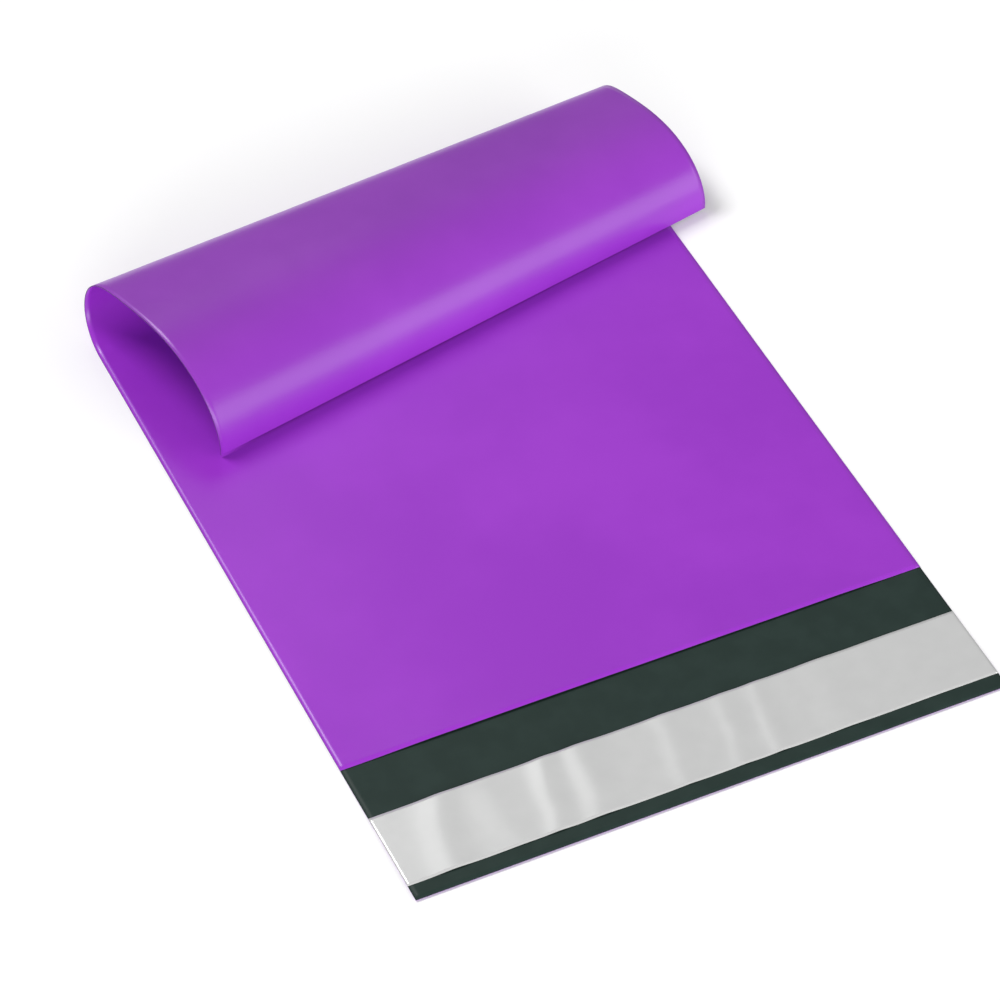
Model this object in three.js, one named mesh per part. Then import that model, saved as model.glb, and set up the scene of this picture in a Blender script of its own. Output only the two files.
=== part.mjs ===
// A poly mailer: a thin film envelope lying on its back, with its closed end curled up and over towards
// the flap. Units are millimetres, +Z is up, +X runs across the bag and +Y from the flap to the closed end.
// The origin is the middle of the footprint, on the surface that the bag lies on.

import * as THREE from "three";

// Driving dimensions of the bag, as it is when flat.
const BAG_WIDTH = 152.4; // 6 in
const BODY_LENGTH = 244.5; // 9 5/8 in, from the mouth to the closed end
const FLAP_LENGTH = 42.4; // from the mouth to the free edge of the flap
const FILM = 0.0635; // 2.5 mil film
const POCKET_GAP = 0.1; // air left between the two walls of the empty pocket
const SIDE_SEAM = 3; // width of each welded side edge
const END_FOLD = 0.5; // film taken up by the fold at the closed end

// Driving dimensions of the closure.
const BAND_WIDTH = 15.9; // bare film between the mouth and the liner
const LINER_WIDTH = 22;
const LINER_THICKNESS = 0.05;
const ADHESIVE_WIDTH = 15;
const ADHESIVE_THICKNESS = 0.03;

// Driving dimensions of the curl. The film is only bent, never stretched, so the curl is a cone: its
// straight lines all meet at one apex far out to the right. Lengths along the curl are taken at mid width.
const LIFT_OFF = 160.2; // from the mouth to where the film leaves the surface
const CURL_SKEW = THREE.MathUtils.degToRad(7.82); // turn of the first straight line from square
const APEX_DISTANCE = 619; // from mid width to the apex
const BACK_RADIUS = 9.04;
const BACK_LENGTH = 28.61; // length of film in the tight bend at the back
const TOP_RADIUS = 181;
const TOP_LENGTH = 8.4; // length of film in the nearly flat top
const END_RADIUS = 14.53; // the bend tightens evenly from the top's to this at the closed end
const LIFT_BLEND = 0.9; // lengths over which one bend passes into the next
const BEND_BLEND = 1.8;

// Fineness of the surface.
const BACK_STEP = 1.5;
const TOP_STEP = 4.5;
const FRONT_STEP = 3.1;
const COLUMNS = 9; // between the seams
const FRAME_STEP = 0.2; // step of the curl's integration
const PLAIN_ROW = 90; // a row across the body that nothing overhangs

const HALF_WIDTH = BAG_WIDTH / 2;
const TOTAL_THICKNESS = 2 * FILM + POCKET_GAP;
const CURL_LENGTH = BODY_LENGTH - LIFT_OFF;

// A smooth step from 0 to 1 along the film.
function blend(along, at, width) {
  return 1 / (1 + Math.exp((at - along) / width));
}

// Curvature of the film at mid width, in 1/mm, at a distance along the curl.
function curvature(along) {
  const back = 1 / BACK_RADIUS;
  const top = 1 / TOP_RADIUS;
  const end = 1 / END_RADIUS;
  const frontStart = BACK_LENGTH + TOP_LENGTH;
  const frontShare = (along - frontStart) / (CURL_LENGTH - frontStart);
  return (
    back * blend(along, 2 * LIFT_BLEND, LIFT_BLEND) +
    (top - back) * blend(along, BACK_LENGTH, BEND_BLEND) +
    (end - top) * THREE.MathUtils.clamp(frontShare, 0, 1.3)
  );
}

// The apex, in the plane of the flat film.
const apex = new THREE.Vector3(
  APEX_DISTANCE * Math.cos(CURL_SKEW),
  LIFT_OFF + APEX_DISTANCE * Math.sin(CURL_SKEW),
  0,
);

// Directions of the cone's straight lines and the film's normals, one pair for each step along the curl.
// Each pair comes from the last by turning the frame about the axis that the curvature gives.
function curlFrames() {
  const line = new THREE.Vector3(-Math.cos(CURL_SKEW), -Math.sin(CURL_SKEW), 0);
  const normal = new THREE.Vector3(0, 0, 1);
  const frames = [{ line: line.clone(), normal: normal.clone() }];
  const longest = (CURL_LENGTH * 1.3) / FRAME_STEP;
  for (let i = 0; i < longest; i++) {
    const bend = curvature((i + 0.5) * FRAME_STEP) * APEX_DISTANCE;
    const axis = line.clone().multiplyScalar(bend).add(normal).negate();
    const angle = (axis.length() * FRAME_STEP) / APEX_DISTANCE;
    axis.normalize();
    line.applyAxisAngle(axis, angle);
    normal.applyAxisAngle(axis, angle);
    frames.push({ line: line.clone(), normal: normal.clone() });
  }
  return frames;
}

const frames = curlFrames();

// Where a point of the flat film goes: x across, y from the mouth, lift above the film's outer skin.
function filmPoint(x, y, lift) {
  const toPoint = new THREE.Vector3(x, y, 0).sub(apex);
  const start = frames[0].line;
  const turn = Math.atan2(
    toPoint.y * -start.x + toPoint.x * start.y,
    toPoint.dot(start),
  );
  const step = (turn * APEX_DISTANCE) / FRAME_STEP;
  if (step <= 0) return new THREE.Vector3(x, y, lift);
  const i = Math.floor(step);
  const line = frames[i].line.clone().lerp(frames[i + 1].line, step - i);
  const normal = frames[i].normal.clone().lerp(frames[i + 1].normal, step - i);
  return line
    .normalize()
    .multiplyScalar(toPoint.length())
    .add(apex)
    .addScaledVector(normal.normalize(), lift);
}

// Rows across the film. Past the lift-off they lean with the cone's straight lines, and they come back
// to square at the closed end.
function rowLean(along) {
  if (along < LIFT_OFF) return 0;
  return (Math.tan(CURL_SKEW) * (BODY_LENGTH - along)) / CURL_LENGTH;
}

function evenly(from, to, step) {
  const count = Math.round((to - from) / step);
  return Array.from({ length: count }, (_, i) => from + ((to - from) * i) / count);
}

const backEnd = LIFT_OFF + BACK_LENGTH;
const topEnd = backEnd + TOP_LENGTH;
const pocketEnd = BODY_LENGTH - END_FOLD;
const flapRows = [-FLAP_LENGTH, 0];
const pocketRows = [
  0,
  PLAIN_ROW,
  ...evenly(LIFT_OFF, backEnd, BACK_STEP),
  ...evenly(backEnd, topEnd, TOP_STEP),
  ...evenly(topEnd, pocketEnd, FRONT_STEP),
  pocketEnd,
];
const bodyRows = [...pocketRows, BODY_LENGTH];

const pocketHalf = HALF_WIDTH - SIDE_SEAM;
const pocketColumns = Array.from(
  { length: COLUMNS + 1 },
  (_, i) => -pocketHalf + (2 * pocketHalf * i) / COLUMNS,
);
const allColumns = [-HALF_WIDTH, ...pocketColumns, HALF_WIDTH];

// Collects flat triangles that together close round one piece of film.
class Skin {
  constructor() {
    this.positions = [];
  }

  // A four-sided patch, seen from outside with its corners anticlockwise.
  quad(a, b, c, d) {
    for (const p of [a, b, c, a, c, d]) this.positions.push(p.x, p.y, p.z);
  }

  // A sheet of film at one lift, facing up (away from the surface, inside the curl) or down.
  sheet(columns, rows, lift, faceUp) {
    for (let r = 0; r + 1 < rows.length; r++) {
      for (let c = 0; c + 1 < columns.length; c++) {
        const corner = (i, j) => {
          const y = rows[j] + columns[i] * rowLean(rows[j]);
          return filmPoint(columns[i], y, lift);
        };
        const ring = [corner(c, r), corner(c + 1, r), corner(c + 1, r + 1), corner(c, r + 1)];
        if (faceUp) this.quad(ring[0], ring[1], ring[2], ring[3]);
        else this.quad(ring[1], ring[0], ring[3], ring[2]);
      }
    }
  }

  // An edge wall across the film at one row, through a list of lifts, facing back (+Y) or forward.
  cross(columns, row, lifts, faceBack) {
    for (let c = 0; c + 1 < columns.length; c++) {
      const corner = (i, lift) => {
        const y = row + columns[i] * rowLean(row);
        return filmPoint(columns[i], y, lift);
      };
      for (let k = 0; k + 1 < lifts.length; k++) {
        const [low, high] = [lifts[k], lifts[k + 1]];
        const ring = [corner(c, low), corner(c + 1, low), corner(c + 1, high), corner(c, high)];
        if (faceBack) this.quad(ring[1], ring[0], ring[3], ring[2]);
        else this.quad(ring[0], ring[1], ring[2], ring[3]);
      }
    }
  }

  // An edge wall along the film at one side, through a list of lifts, facing right (+X) or left.
  side(x, rows, lifts, faceRight) {
    for (let r = 0; r + 1 < rows.length; r++) {
      const corner = (j, lift) => filmPoint(x, rows[j] + x * rowLean(rows[j]), lift);
      for (let k = 0; k + 1 < lifts.length; k++) {
        const [low, high] = [lifts[k], lifts[k + 1]];
        const ring = [corner(r, low), corner(r + 1, low), corner(r + 1, high), corner(r, high)];
        if (faceRight) this.quad(ring[0], ring[1], ring[2], ring[3]);
        else this.quad(ring[1], ring[0], ring[3], ring[2]);
      }
    }
  }

  geometry() {
    const made = new THREE.BufferGeometry();
    made.setAttribute("position", new THREE.Float32BufferAttribute(this.positions, 3));
    made.computeVertexNormals();
    return made;
  }
}

// The bag itself: one folded sheet. The back wall runs on past the mouth as the flap, the side edges are
// welded, and the pocket between the walls is open at the mouth.
function filmBag() {
  const skin = new Skin();
  const seamLeft = allColumns.slice(0, 2);
  const seamRight = allColumns.slice(-2);
  const innerTop = FILM + POCKET_GAP;
  const wallLifts = [0, FILM];
  const bodyLifts = [0, FILM, innerTop, TOTAL_THICKNESS];

  skin.sheet(allColumns, [flapRows[0], ...bodyRows], 0, false);
  skin.sheet(allColumns, flapRows, FILM, true);
  skin.sheet(allColumns, bodyRows, TOTAL_THICKNESS, true);

  skin.cross(allColumns, -FLAP_LENGTH, wallLifts, false);
  skin.cross(seamLeft, 0, bodyLifts.slice(1), false);
  skin.cross(seamRight, 0, bodyLifts.slice(1), false);
  skin.cross(pocketColumns, 0, bodyLifts.slice(2), false);
  skin.cross(allColumns, BODY_LENGTH, bodyLifts, true);

  for (const [x, right] of [
    [HALF_WIDTH, true],
    [-HALF_WIDTH, false],
  ]) {
    skin.side(x, flapRows, wallLifts, right);
    skin.side(x, bodyRows, bodyLifts, right);
  }

  skin.sheet(pocketColumns, pocketRows, FILM, true);
  skin.sheet(pocketColumns, pocketRows, innerTop, false);
  skin.side(pocketHalf, pocketRows, [FILM, innerTop], false);
  skin.side(-pocketHalf, pocketRows, [FILM, innerTop], true);
  skin.cross(pocketColumns, pocketEnd, [FILM, innerTop], false);
  return skin.geometry();
}

// A flat strip lying across the flap, given by its near and far edge and its height above the surface.
function strip(width, centreY, bottom, thickness) {
  const made = new THREE.BoxGeometry(BAG_WIDTH, width, thickness);
  return made.translate(0, centreY, bottom + thickness / 2);
}

function piece(name, geometry, color, roughness, metalness) {
  const material = new THREE.MeshStandardMaterial({ color, roughness, metalness });
  const mesh = new THREE.Mesh(geometry, material);
  mesh.name = name;
  return mesh;
}

const closureCentre = -(BAND_WIDTH + LINER_WIDTH / 2);
const adhesive = strip(ADHESIVE_WIDTH, closureCentre, FILM, ADHESIVE_THICKNESS);
const liner = strip(LINER_WIDTH, closureCentre, FILM + ADHESIVE_THICKNESS, LINER_THICKNESS);

const mailer = new THREE.Group();
mailer.add(
  piece("film_bag", filmBag(), 0x9a45c6, 0.35, 0),
  piece("adhesive_strip", adhesive, 0xd8d2c0, 0.5, 0),
  piece("release_liner", liner, 0xcdcdcd, 0.4, 0.1),
);

// The origin goes to the middle of the footprint.
const footprint = new THREE.Box3().setFromObject(mailer);
const middle = footprint.getCenter(new THREE.Vector3());
mailer.position.set(-middle.x, -middle.y, 0);

export default mailer;
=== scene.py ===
# %% [markdown]
# # A poly mailer with its closed end curled over
#
# A poly mailer is one sheet of thin film. It is folded in half, its two side edges are welded, and the
# longer half runs on past the mouth as a flap with a strip of glue under a release liner. Here the bag
# lies on its back and its closed end is curled up and over towards the flap.
#
# The size and the place of everything come from the imported CAD frame, so it is loaded first, and the box
# of the CAD model is kept and printed.
# %% Load the imported frame
from math import atan2, cos, exp, pi, radians, sin

import bmesh
import bpy
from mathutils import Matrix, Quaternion, Vector, noise


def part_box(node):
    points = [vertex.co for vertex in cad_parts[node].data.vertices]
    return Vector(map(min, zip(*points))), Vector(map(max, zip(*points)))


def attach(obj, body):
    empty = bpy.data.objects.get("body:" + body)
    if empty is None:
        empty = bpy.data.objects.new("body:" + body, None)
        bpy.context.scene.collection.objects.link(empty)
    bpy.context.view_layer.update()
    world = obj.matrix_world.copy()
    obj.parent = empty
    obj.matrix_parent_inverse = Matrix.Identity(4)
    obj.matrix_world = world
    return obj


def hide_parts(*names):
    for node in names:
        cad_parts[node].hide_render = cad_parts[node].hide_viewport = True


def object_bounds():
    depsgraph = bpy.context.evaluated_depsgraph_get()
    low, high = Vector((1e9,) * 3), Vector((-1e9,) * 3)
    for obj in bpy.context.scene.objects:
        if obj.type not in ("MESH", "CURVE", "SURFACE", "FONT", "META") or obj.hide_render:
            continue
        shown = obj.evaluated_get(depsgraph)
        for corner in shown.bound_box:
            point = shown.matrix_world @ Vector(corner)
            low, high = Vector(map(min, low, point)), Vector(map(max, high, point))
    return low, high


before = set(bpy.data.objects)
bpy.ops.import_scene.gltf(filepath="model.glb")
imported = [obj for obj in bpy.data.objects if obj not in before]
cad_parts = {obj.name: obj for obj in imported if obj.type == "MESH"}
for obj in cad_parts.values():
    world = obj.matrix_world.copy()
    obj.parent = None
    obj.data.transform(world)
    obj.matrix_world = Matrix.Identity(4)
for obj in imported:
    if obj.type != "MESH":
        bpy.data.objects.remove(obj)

cad_low, cad_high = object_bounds()
print("CAD box, mm:", [round(1000 * side, 1) for side in cad_high - cad_low])

# %% [markdown]
# ## The sizes of the bag
#
# These are the sizes that the film was cut and welded to. The curl has sizes of its own, measured along
# the film from the line where it leaves the surface: a tight bend at the back, a nearly flat top and a
# front bend that tightens evenly down to the closed end. They repeat the CAD model's, and once the curl
# is worked out its height is compared with the height of the CAD solid.
# %% Driving sizes, in metres
MM = 0.001

WIDTH = 152.4 * MM
BODY_LENGTH = 244.5 * MM  # from the mouth to the closed end
FLAP_LENGTH = 42.4 * MM
FILM = 0.0635 * MM
WALL_STEP = 0.1635 * MM  # from the middle of the back wall's film to the middle of the front wall's
SIDE_SEAM = 3 * MM

LIFT_OFF = 160.2 * MM  # from the mouth to where the film leaves the surface
CURL_SKEW = radians(7.82)
APEX_DISTANCE = 619 * MM
BACK_RADIUS, BACK_LENGTH = 9.04 * MM, 28.61 * MM
TOP_RADIUS, TOP_LENGTH = 181 * MM, 8.4 * MM
END_RADIUS = 14.53 * MM
LIFT_BLEND, BEND_BLEND = 0.9 * MM, 1.8 * MM
FRAME_STEP = 0.2 * MM

bag_low, bag_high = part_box("film_bag")
sheet_origin = Vector((bag_low.x + WIDTH / 2, bag_low.y + FLAP_LENGTH, 0))  # mid width, at the mouth
print("middle of the mouth, mm:", [round(value / MM, 2) for value in sheet_origin])

# %% [markdown]
# ## How a flat film curls
#
# Film bends easily but hardly stretches, so a curl in it is always part of a cone or a cylinder: it is
# made of straight lines. This curl is tighter at one end than at the other, so it is a cone, and all its
# straight lines meet at one apex far out to the side.
#
# To curl the film we walk round the apex in small steps. At each step we keep the direction of the
# straight line and the direction of the film's normal, and turn both by what the curvature asks for.
# A point of the flat film then keeps its distance from the apex and takes the direction of its own step.
# Lengths along the film come out true, which no free-hand bend would give.
# %% Curvature along the film
def blend(along, at, width):
    """A smooth step from 0 to 1 at a distance along the film."""
    return 1 / (1 + exp(max(-60, min(60, (at - along) / width))))


def curvature(along):
    """How sharply the film bends, in 1/m, at a distance past the line where it leaves the surface."""
    back, top, end = 1 / BACK_RADIUS, 1 / TOP_RADIUS, 1 / END_RADIUS
    front_start = BACK_LENGTH + TOP_LENGTH
    front_share = (along - front_start) / (BODY_LENGTH - LIFT_OFF - front_start)
    bend = back * blend(along, 2 * LIFT_BLEND, LIFT_BLEND)
    bend += (top - back) * blend(along, BACK_LENGTH, BEND_BLEND)
    bend += (end - top) * max(0.0, min(1.3, front_share))
    return bend


for along in (0, 10, 35, 60, 84):
    print("bend radius", along, "mm along the curl:", round(1 / curvature(along * MM) / MM, 1), "mm")

# %% Walk round the apex
apex = Vector((cos(CURL_SKEW), sin(CURL_SKEW), 0)) * APEX_DISTANCE + Vector((0, LIFT_OFF, 0))
first_line = Vector((-cos(CURL_SKEW), -sin(CURL_SKEW), 0))


def curl_frames():
    """The straight line and the normal of the film at each step round the apex."""
    line, normal = first_line.copy(), Vector((0, 0, 1))
    made = [(line.copy(), normal.copy())]
    steps = int(1.3 * (BODY_LENGTH - LIFT_OFF) / FRAME_STEP)
    for step in range(steps):
        bend = curvature((step + 0.5) * FRAME_STEP) * APEX_DISTANCE
        axis = -(line * bend + normal)
        turn = Quaternion(axis.normalized(), axis.length * FRAME_STEP / APEX_DISTANCE)
        line, normal = turn @ line, turn @ normal
        made.append((line.copy(), normal.copy()))
    return made


frames = curl_frames()


def on_film(across, along, lift):
    """Where a point of the flat film goes: across from mid width, along from the mouth, lift above."""
    spoke = Vector((across, along, 0)) - apex
    turn = atan2(spoke.x * first_line.y - spoke.y * first_line.x, spoke.dot(first_line))
    step = turn * APEX_DISTANCE / FRAME_STEP
    if step <= 0:
        return sheet_origin + Vector((across, along, lift))
    low = int(step)
    line = frames[low][0].lerp(frames[low + 1][0], step - low).normalized()
    normal = frames[low][1].lerp(frames[low + 1][1], step - low).normalized()
    return sheet_origin + apex + line * spoke.length + normal * lift


highest = max(on_film(-WIDTH / 2, LIFT_OFF + step * MM, 0).z for step in range(-10, 80))
print("curl's height, mm:", round(highest / MM, 2), "and in the CAD:", round(bag_high.z / MM, 2))

# %% [markdown]
# ## Nothing made of film is quite flat
#
# A bag that has been packed and handled keeps a faint waviness, which hardly moves the film but is what
# the eye reads in its reflections. Both walls follow one smooth field of waves, so that they never pass
# through each other. The front wall also stands a little away from the back wall where air is left in
# the pocket, gapes slightly at the mouth, and is tied down at the welded sides. The flap's free edge
# rises a little from the table, because the liner on it is stiffer than the film.
# %% Waves, pocket and flap
WAVE_HEIGHT = 0.16 * MM
WAVE_LENGTH = Vector((46, 62, 1)) * MM
PILLOW = 0.16 * MM  # how far the front wall stands off where the pocket holds most air
PILLOW_LENGTH = Vector((52, 70, 1)) * MM
SEAM_EASE, END_EASE = 22 * MM, 30 * MM  # how far from a weld or the closed end the wall is free
MOUTH_GAPE = 0.3 * MM
GAPE_LENGTH = 7 * MM
GAPE_WIDTH = 31 * MM
FLAP_RISE = 0.35 * MM
WAVE_SEED, PILLOW_SEED, GAPE_SEED = 4.2, 9.7, 2.3  # where each noise is cut


def smooth(value):
    """A smooth ramp that is 0 up to 0 and 1 from 1."""
    value = max(0.0, min(1.0, value))
    return value * value * (3 - 2 * value)


def wave(across, along):
    """The waviness of both walls, never below the table."""
    place = Vector((across / WAVE_LENGTH.x, along / WAVE_LENGTH.y, WAVE_SEED))
    return WAVE_HEIGHT * (0.5 + 0.5 * noise.noise(place))


def pocket_air(across, along):
    """How far the front wall stands off the back wall, beyond touching it."""
    to_seam = (WIDTH / 2 - SIDE_SEAM - abs(across)) / SEAM_EASE
    free = smooth(to_seam) * smooth((BODY_LENGTH - along) / END_EASE)
    place = Vector((across / PILLOW_LENGTH.x, along / PILLOW_LENGTH.y, PILLOW_SEED))
    uneven = 0.6 + 0.4 * noise.noise(place)
    gape = MOUTH_GAPE * exp(-max(0, along) / GAPE_LENGTH)
    gape *= 0.65 + 0.35 * noise.noise(Vector((across / GAPE_WIDTH, 0, GAPE_SEED)))
    return free * (PILLOW * uneven + gape)


def flap_rise(across, along):
    """The flap's lift towards its free edge, a little more at one corner."""
    out = smooth(-along / FLAP_LENGTH)
    corner = 0.75 + 0.25 * smooth(0.5 - across / WIDTH)
    return FLAP_RISE * out * corner


print("gape in the middle of the mouth, mm:", round(pocket_air(0, 0) / MM, 2))

# %% [markdown]
# ## Cutting the film
#
# The real bag starts as one flat sheet, so this one does too: a grid as long as the back wall, the flap
# and the front wall together. A flat grid is the right start for anything that bends but doesn't
# stretch, because the same few numbers can lay it on the curl. Cuts with bisect_plane put rows of
# vertices where the sheet folds and where the side welds begin, so that those edges are sharp.
#
# Each vertex keeps its place on the flat sheet in a UV map. The finishes are drawn on that map, so
# that grain and streaks follow the film round the curl.
# %% A flat sheet with cuts
SHEET_LENGTH = FLAP_LENGTH + 2 * BODY_LENGTH
FOLD_LINE = FLAP_LENGTH + BODY_LENGTH  # where the sheet turns back on itself at the closed end
FOLD_RADIUS = WALL_STEP / 2
GRID = 1.55 * MM


def flat_sheet(width, length, step, cuts_across=(), cuts_along=()):
    """A flat grid centred on X, running along Y from 0, with extra lines at the cuts."""
    sheet = bmesh.new()
    columns, rows = round(width / step), round(length / step)
    bmesh.ops.create_grid(sheet, x_segments=columns, y_segments=rows, size=0.5)
    bmesh.ops.translate(sheet, verts=sheet.verts, vec=(0, 0.5, 0))
    bmesh.ops.scale(sheet, verts=sheet.verts, vec=(width, length, 1))
    for places, normal in ((cuts_across, Vector((1, 0, 0))), (cuts_along, Vector((0, 1, 0)))):
        for place in places:
            whole = sheet.verts[:] + sheet.edges[:] + sheet.faces[:]
            bmesh.ops.bisect_plane(
                sheet, geom=whole, dist=1e-7, plane_co=normal * place, plane_no=normal
            )
    return sheet


def mark_flat_places(sheet):
    """Writes each corner's place on the flat sheet, in metres, to the UV map called flat."""
    layer = sheet.loops.layers.uv.new("flat")
    for face in sheet.faces:
        for corner in face.loops:
            corner[layer].uv = corner.vert.co.xy


fold_cuts = [FOLD_LINE + FOLD_RADIUS * pi * part for part in (-0.5, -0.25, 0, 0.25, 0.5)]
weld_line = WIDTH / 2 - SIDE_SEAM
film = flat_sheet(WIDTH, SHEET_LENGTH, GRID, (-weld_line, weld_line), fold_cuts)
mark_flat_places(film)
print("sheet of", len(film.faces), "faces,", round(SHEET_LENGTH / MM, 1), "mm long")

# %% [markdown]
# ## Folding and curling
#
# Now every vertex is moved once. Its distance along the sheet says which wall it belongs to: the back
# wall with its flap comes first, then a tiny half turn at the closed end, then the front wall coming
# back to the mouth. The wave, the air in the pocket and the rise of the flap are added to its lift, and
# the lift is taken along the normal of the curl.
# %% Fold the sheet and lay it on the curl
def folded(across, sheet_place):
    """Along the bag and lift above the table, for a place on the flat sheet."""
    turn = (sheet_place - FOLD_LINE) / FOLD_RADIUS
    middle = FILM / 2 + FOLD_RADIUS
    turned = max(-pi / 2, min(pi / 2, turn))
    straight = abs(turn) - abs(turned)
    along = BODY_LENGTH - FOLD_RADIUS + FOLD_RADIUS * cos(turned) - straight * FOLD_RADIUS
    lift = middle + FOLD_RADIUS * sin(turned) + wave(across, along)
    if turn > 0:
        lift += pocket_air(across, along)
    elif along < 0:
        lift += flap_rise(across, along)
    return along, lift


for vert in film.verts:
    across, sheet_place = vert.co.x, vert.co.y
    along, lift = folded(across, sheet_place)
    vert.co = on_film(across, along, lift)

bmesh.ops.reverse_faces(film, faces=film.faces)
area = sum(face.calc_area() for face in film.faces)
print("film area against flat:", round(area / (WIDTH * SHEET_LENGTH), 4))

# %% [markdown]
# ## Giving the film its thickness
#
# The film is a sandwich: coloured outside, dark inside. One Solidify modifier makes both. It keeps the
# faces that point outwards in the first material, gives the new inner faces the second, and the cut
# edges the third, so the two sides can never drift apart.
# %% Turn a bmesh into a piece
def piece(name, mesh_data, materials=()):
    """A shaded-smooth object at the origin that rides on the bag's one body."""
    mesh = bpy.data.meshes.new(name)
    for face in mesh_data.faces:
        face.smooth = True
    mesh_data.to_mesh(mesh)
    mesh_data.free()
    made = bpy.data.objects.new(name, mesh)
    bpy.context.scene.collection.objects.link(made)
    for material in materials:
        mesh.materials.append(material)
    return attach(made, "root")


def thicken(made, thickness, inner=0, rim=0):
    """Gives a sheet its thickness, half to each side."""
    solid = made.modifiers.new("thickness", "SOLIDIFY")
    solid.thickness = thickness
    solid.offset = 0
    solid.use_even_offset = False
    solid.material_offset = inner
    solid.material_offset_rim = rim


def measure(made):
    """Prints how many triangles a finished piece has, and its box."""
    graph = bpy.context.evaluated_depsgraph_get()
    shown = made.evaluated_get(graph)
    shown.data.calc_loop_triangles()
    corners = [Vector(corner) for corner in shown.bound_box]
    sides = [max(c[i] for c in corners) - min(c[i] for c in corners) for i in range(3)]
    count = len(shown.data.loop_triangles)
    print(made.name, count, "triangles,", [round(side / MM, 2) for side in sides], "mm")


film_bag = piece("mailer_film", film)
thicken(film_bag, FILM, inner=1, rim=2)
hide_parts("film_bag")
measure(film_bag)

# %% [markdown]
# ## The release liner and the glue under it
#
# The liner is a strip of silicone-coated film as wide as the bag. It is stuck down only where the glue
# is, and it came off a roll, so it never lies quite flat: shallow buckles run across it. They are far
# too low to see as shapes, and yet they are all that one sees of the liner, because each one catches
# the light as a soft streak. So they are modelled: a sum of a few low ridges, each with its own place,
# width and height, leaning a little and varying along its length.
# %% Lay a strip on the flap
BAND_WIDTH = 15.9 * MM
LINER_WIDTH = 22 * MM
LINER_THICKNESS = 0.05 * MM
ADHESIVE_WIDTH = 15 * MM
ADHESIVE_THICKNESS = 0.03 * MM
CLOSURE = -(BAND_WIDTH + LINER_WIDTH / 2)  # middle of the liner, along from the mouth

BUCKLE_HEIGHT = 1.25 * MM

# Place across the bag and half width of each buckle in mm, its share of the height, and its lean.
BUCKLES = (
    (-62.0, 4.2, 0.30, 0.25),
    (-48.0, 6.0, 0.16, -0.10),
    (-35.0, 3.2, 0.28, 0.30),
    (-25.0, 4.4, 0.30, 0.18),
    (-3.0, 3.2, 0.20, 0.10),
    (12.0, 2.8, 0.20, 0.22),
    (20.5, 2.6, 0.20, 0.16),
    (38.5, 4.6, 0.22, 0.08),
    (58.0, 7.0, 0.10, -0.15),
)


def buckles(across, from_middle):
    """How far the liner stands off the glue."""
    total = 0
    for place, half_width, height, lean in BUCKLES:
        line = place * MM + lean * from_middle
        wander = 1.2 * MM * noise.noise(Vector((place, from_middle / (9 * MM), 0.5)))
        fade = 0.75 + 0.25 * noise.noise(Vector((place, from_middle / (16 * MM), 7.5)))
        off = (across - line - wander) / (half_width * MM)
        total += BUCKLE_HEIGHT * height * fade * exp(-off * off)
    fine = noise.noise(Vector((across / (6 * MM), from_middle / (26 * MM), 3.1)))
    return total + 0.02 * MM * (1 + fine)


def lay_on_flap(strip, bottom, shape):
    """Moves a flat strip onto the flap's inner face, following its rise and waves."""
    for vert in strip.verts:
        across, from_edge = vert.co.x, vert.co.y
        along = from_edge
        lift = FILM + bottom + wave(across, along) + flap_rise(across, along)
        vert.co = on_film(across, along, lift + shape(across, along - CLOSURE))


# %% [markdown]
# ## Stacking the two strips
#
# The glue goes down first and follows the flap exactly. The liner lies on it and adds the buckles. Both
# are sheets of a known flat size, and each is laid just on top of what it rests on.
# %% Glue, then liner
def strip_of(width, step):
    """A flat strip as wide as the bag, on the line of the closure."""
    strip = flat_sheet(WIDTH, width, step)
    bmesh.ops.translate(strip, verts=strip.verts, vec=(0, CLOSURE - width / 2, 0))
    mark_flat_places(strip)
    return strip


adhesive = strip_of(ADHESIVE_WIDTH, 1.5 * MM)
lay_on_flap(adhesive, ADHESIVE_THICKNESS / 2, lambda across, off: 0)
adhesive_strip = piece("adhesive_layer", adhesive)
thicken(adhesive_strip, ADHESIVE_THICKNESS)
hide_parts("adhesive_strip")
measure(adhesive_strip)

liner = strip_of(LINER_WIDTH, 0.8 * MM)
lay_on_flap(liner, ADHESIVE_THICKNESS + LINER_THICKNESS / 2, buckles)
release_liner = piece("liner_strip", liner)
thicken(release_liner, LINER_THICKNESS, rim=1)
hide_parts("release_liner")
measure(release_liner)

# %% [markdown]
# ## Writing finishes as sums
#
# A material is a small program made of nodes. Wired by hand it soon becomes hard to read, so two small
# helpers let us write it as arithmetic. A Field stands for a number or a colour at every point of the
# surface, and adding or multiplying Fields adds the Math nodes. A Finish holds one material, and its
# node method makes any other node: first its settings, then the values or links of its sockets.
# %% Fields and finishes
class Field:
    """A number, colour or direction at every point of a surface."""

    def __init__(self, finish, socket):
        self.finish, self.socket = finish, socket

    def maths(self, operation, first, second):
        """One Math node; its two values have the socket numbers 0 and 1."""
        values = {0: first, 1: second}
        return self.finish.node("ShaderNodeMath", {"operation": operation}, values)

    def __add__(self, other):
        return self.maths("ADD", self, other)

    def __mul__(self, other):
        return self.maths("MULTIPLY", self, other)

    __radd__ = __add__
    __rmul__ = __mul__


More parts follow.
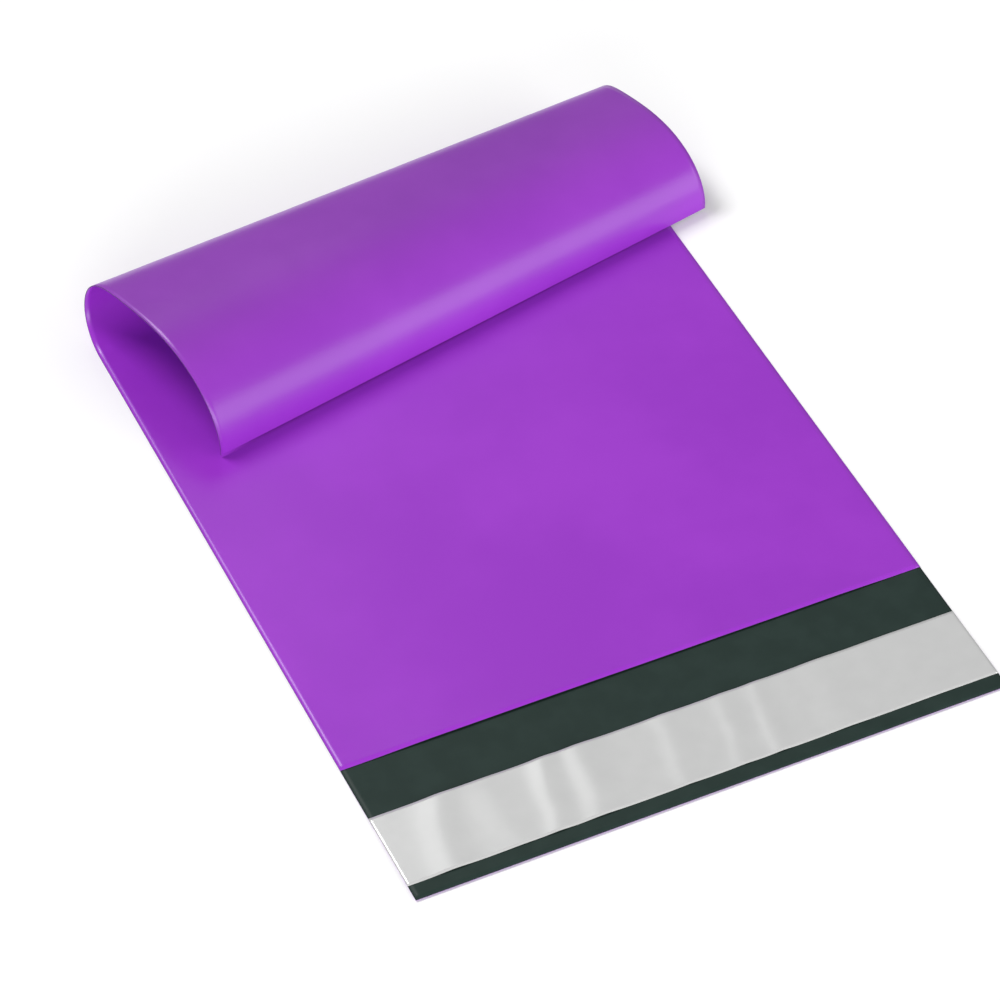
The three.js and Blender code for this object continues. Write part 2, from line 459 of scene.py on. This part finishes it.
class Finish:
    """One material, built from nodes."""

    def __init__(self, name):
        self.material = bpy.data.materials.new(name)
        self.material.use_nodes = True
        self.tree = self.material.node_tree
        self.tree.nodes.clear()

    def node(self, kind, settings=None, sockets=None, out=0):
        """Adds a node, sets it, feeds it, and returns one of its outputs."""
        made = self.tree.nodes.new(kind)
        for name, value in (settings or {}).items():
            setattr(made, name, value)
        for name, value in (sockets or {}).items():
            self.feed(made.inputs[name], value)
        return Field(self, made.outputs[out])

    def feed(self, socket, value):
        """Links a Field to a socket, or sets the socket to a plain value."""
        if isinstance(value, Field):
            self.tree.links.new(value.socket, socket)
        else:
            socket.default_value = value

    def flat_place(self, scale=(1, 1, 1), turn=0):
        """The place on the flat sheet, stretched and turned."""
        place = self.node("ShaderNodeUVMap", {"uv_map": "flat"}, out="UV")
        sockets = {"Vector": place, "Scale": scale, "Rotation": (0, 0, turn)}
        return self.node("ShaderNodeMapping", {}, sockets)

    def along(self, place):
        """Only the distance along the sheet."""
        return self.node("ShaderNodeSeparateXYZ", {}, {"Vector": place}, out="Y")

    def clouds(self, place, size, detail=3.0):
        """Soft noise from 0 to 1, with patches of a given size in metres."""
        sockets = {"Vector": place, "Scale": 1 / size, "Detail": detail}
        return self.node("ShaderNodeTexNoise", {}, sockets, out=0)

    def ramp(self, value, low, high):
        """0 below low, 1 above high and smooth between."""
        settings = {"interpolation_type": "SMOOTHSTEP"}
        sockets = {"Value": value, "From Min": low, "From Max": high}
        return self.node("ShaderNodeMapRange", settings, sockets)

    def mix(self, share, first, second):
        """From the first colour to the second; a Mix node keeps its colours in sockets 6 and 7."""
        sockets = {0: share, 6: first, 7: second}
        return self.node("ShaderNodeMix", {"data_type": "RGBA"}, sockets, out=2)

    def bump(self, height, depth):
        """The normal of a surface whose height in metres is height times depth."""
        sockets = {"Height": height, "Distance": depth, "Strength": 1.0}
        return self.node("ShaderNodeBump", {}, sockets)

    def shine(self, **sockets):
        """Ends the material with one Principled shader; underscores stand for spaces."""
        named = {name.replace("_", " "): value for name, value in sockets.items()}
        surface = self.node("ShaderNodeBsdfPrincipled", {}, named)
        output = self.tree.nodes.new("ShaderNodeOutputMaterial")
        self.tree.links.new(surface.socket, output.inputs["Surface"])
        return self.material


def colour(red, green, blue):
    return (red, green, blue, 1.0)


print("helpers ready")

# %% [markdown]
# ## The coloured skin
#
# Blown polyethylene film is glossy, but its gloss is soft: the surface has a faint orange peel, and
# fine lines that the die left run across the bag. Both are bumps of a few microns, and wide soft dents
# from handling are a little deeper. Its colour is even, with very slight clouds where the pigment or
# the gauge varies. The back wall, which shows only on top of the curl, gets a darker, greyer purple
# as painted shade for the top of the roll, and on the curl this painted shade fades out towards the
# closed end. All of it is drawn on the flat map, so it follows the film.
# %% Coloured film
FILM_RELIEF = 0.006 * MM


def coloured_film():
    finish = Finish("film_skin")
    flat = finish.flat_place()
    clouds = finish.clouds(flat, 60 * MM, 2)
    mottle = finish.clouds(flat, 9 * MM, 4)
    die_lines = finish.clouds(finish.flat_place((0.02, 1, 1)), 0.9 * MM, 2)
    peel = finish.clouds(flat, 1.1 * MM, 2)
    dents = finish.clouds(finish.flat_place((1, 1.6, 1), radians(24)), 17 * MM, 2)
    tone = finish.ramp(clouds + mottle * 0.25, 0.45, 0.85)
    # Painted shade: the second pair of colours is a darker, greyer purple that stands for the shade on the
    # top of the roll, where the back wall shows.
    own_colour = finish.mix(tone, colour(0.280, 0.026, 0.505), colour(0.310, 0.032, 0.545))
    painted_shade_colour = finish.mix(tone, colour(0.230, 0.035, 0.395), colour(0.258, 0.043, 0.432))
    # Painted shade mask: 0 on the back wall, rising to 1 from 45 mm before the closed end to 15 mm past
    # it, so the front wall keeps the film's own colour.
    unshaded_share = finish.ramp(finish.along(flat), FOLD_LINE - 45 * MM, FOLD_LINE + 15 * MM)
    base = finish.mix(unshaded_share, painted_shade_colour, own_colour)
    height = die_lines * 0.25 + peel * 0.5 + dents * 9
    rough = 0.25 + mottle * 0.06 + die_lines * 0.03
    return finish.shine(
        Base_Color=base,
        Roughness=rough,
        IOR=1.5,
        Specular_IOR_Level=0.4,
        Normal=finish.bump(height, FILM_RELIEF),
    )


film_bag.data.materials.append(coloured_film())
print("coloured film done")

# %% [markdown]
# ## The dark inside and the cut edge
#
# The inner layer is pigmented nearly black so that nobody can read what is in the bag. It is less
# glossy than the outside. The cut edge shows both layers at once and is rough, so its colour lies
# between the two.
# %% Dark film and cut edge
def dark_film():
    finish = Finish("film_inside")
    flat = finish.flat_place()
    mottle = finish.clouds(flat, 7 * MM, 4)
    die_lines = finish.clouds(finish.flat_place((0.02, 1, 1)), 1.1 * MM, 2)
    base = finish.mix(
        finish.ramp(mottle, 0.35, 0.7), colour(0.0138, 0.0280, 0.0235), colour(0.0170, 0.0330, 0.0280)
    )
    height = die_lines * 0.6 + mottle * 2
    return finish.shine(
        Base_Color=base,
        Roughness=0.45 + mottle * 0.1,
        IOR=1.5,
        Specular_IOR_Level=0.2,
        Normal=finish.bump(height, FILM_RELIEF),
    )


def cut_edge():
    finish = Finish("film_edge")
    nicks = finish.clouds(finish.flat_place(), 1.3 * MM, 3)
    base = finish.mix(nicks, colour(0.10, 0.020, 0.17), colour(0.19, 0.060, 0.28))
    return finish.shine(Base_Color=base, Roughness=0.45 + nicks * 0.2, IOR=1.5)


film_bag.data.materials.append(dark_film())
film_bag.data.materials.append(cut_edge())
print("film materials:", [material.name for material in film_bag.data.materials])

# %% [markdown]
# ## Liner and glue
#
# The liner is a pale grey film with a silicone face, smooth and semi-gloss. Its streaks come from the
# buckles in its shape; the finish only adds a fine haze, and faint drag lines along the strip. The glue
# is a thin warm layer, and shows only in the hair of gap at the liner's edges.
# %% Liner and glue finishes
def liner_film():
    finish = Finish("liner_film")
    flat = finish.flat_place()
    haze = finish.clouds(flat, 5 * MM, 4)
    drag = finish.clouds(finish.flat_place((0.03, 1, 1)), 0.8 * MM, 2)
    base = finish.mix(haze, colour(0.598, 0.601, 0.598), colour(0.645, 0.648, 0.645))
    return finish.shine(
        Base_Color=base,
        Roughness=0.2 + haze * 0.06 + drag * 0.03,
        Metallic=0.25,
        IOR=1.5,
        Normal=finish.bump(drag + haze * 2, 0.004 * MM),
    )


def liner_edge():
    finish = Finish("liner_edge")
    fray = finish.clouds(finish.flat_place(), 0.9 * MM, 3)
    base = finish.mix(fray, colour(0.46, 0.46, 0.455), colour(0.58, 0.58, 0.575))
    return finish.shine(Base_Color=base, Roughness=0.5 + fray * 0.2)


def glue():
    finish = Finish("hot_melt_glue")
    ribs = finish.clouds(finish.flat_place((0.05, 1, 1)), 1.6 * MM, 2)
    base = finish.mix(ribs, colour(0.52, 0.45, 0.30), colour(0.66, 0.60, 0.44))
    height = finish.bump(ribs, 0.02 * MM)
    return finish.shine(Base_Color=base, Roughness=0.25 + ribs * 0.1, Normal=height)


release_liner.data.materials.append(liner_film())
release_liner.data.materials.append(liner_edge())
adhesive_strip.data.materials.append(glue())
print("liner and glue done")

# %% [markdown]
# ## The table
#
# A plain white table, big enough to fill the view, with a plain finish.
# %% Floor
FLOOR_SIZE = 12.0
FLOOR_DROP = 0.02 * MM  # keeps the table clear of the film that lies on it

table = bmesh.new()
bmesh.ops.create_grid(table, x_segments=1, y_segments=1, size=FLOOR_SIZE / 2)
floor_mesh = bpy.data.meshes.new("floor")
table.to_mesh(floor_mesh)
table.free()
floor = bpy.data.objects.new("floor", floor_mesh)
floor.location.z = -FLOOR_DROP
bpy.context.scene.collection.objects.link(floor)

plain = Finish("floor_white")
floor_mesh.materials.append(plain.shine(Base_Color=colour(0.97, 0.97, 0.97), Roughness=0.9))
print("floor", FLOOR_SIZE, "m square")

# %% [markdown]
# ## Camera
#
# The camera looks down on the bag from the front left through a long lens, as for a catalogue. It is
# placed by the angle that it looks from, its distance and the point on the sheet that it looks at.
# %% Camera
AZIMUTH, ELEVATION = radians(-25.06), radians(45.91)
DISTANCE = 1078.5 * MM
LENS, SENSOR = 158.85, 36.0

aim = sheet_origin + Vector((-5.86, 63.47, 0)) * MM
towards_camera = Vector(
    (sin(AZIMUTH) * cos(ELEVATION), -cos(AZIMUTH) * cos(ELEVATION), sin(ELEVATION))
)
camera = bpy.data.objects.new("camera", bpy.data.cameras.new("camera"))
camera.data.lens = LENS
camera.data.sensor_width = SENSOR
camera.location = aim + towards_camera * DISTANCE
camera.rotation_euler = towards_camera.to_track_quat("Z", "Y").to_euler()
bpy.context.scene.collection.objects.link(camera)
bpy.context.scene.camera = camera
print("camera at, m:", [round(value, 3) for value in camera.location])

# %% [markdown]
# ## Light
#
# Film shows what it reflects, so the lights are placed by what they do in it. The key stands high
# behind the bag on the left, where the flat film doesn't mirror it to the camera, and throws the soft
# shadow in front of the roll. The wide low light at the front right is what the roll's face reflects,
# as one band along it. The low light at the front left fills that face and keeps the table white. A
# weak narrow light behind draws the streaks in the liner. The rest is an even grey surround.
# %% World and lights
bag_middle = (cad_low + cad_high) / 2


def softbox(name, azimuth, elevation, distance, size, power):
    """A square or oblong soft light that looks at the bag; azimuth 0 is the front, 90 the right."""
    data = bpy.data.lights.new(name, "AREA")
    data.shape = "RECTANGLE"
    data.size, data.size_y = size
    data.energy = power
    turn, rise = radians(azimuth), radians(elevation)
    away = Vector((sin(turn) * cos(rise), -cos(turn) * cos(rise), sin(rise)))
    light = bpy.data.objects.new(name, data)
    light.location = bag_middle + away * distance
    light.rotation_euler = away.to_track_quat("Z", "Y").to_euler()
    bpy.context.scene.collection.objects.link(light)
    print(name, "at, m:", [round(value, 2) for value in light.location])
    return light


world = bpy.data.worlds.new("studio")
world.use_nodes = True
world.node_tree.nodes["Background"].inputs["Color"].default_value = colour(1, 1, 1)
world.node_tree.nodes["Background"].inputs["Strength"].default_value = 0.37
bpy.context.scene.world = world

softbox("key_behind", -142, 52, 1.8, (0.7, 0.7), 20.5)
softbox("wall_right", 48, 15, 1.7, (2.2, 0.9), 19)
softbox("wall_left", -28, 11, 1.7, (1.6, 0.6), 20)
softbox("strip_back", 166, 46, 3.6, (0.4, 1.4), 3.6)

bpy.context.scene.view_settings.view_transform = "Standard"
bpy.context.scene.view_settings.look = "None"
bpy.context.scene.view_settings.exposure = 0.0

# %% [markdown]
# ## The end
# %% Finish
print("mailer scene built")
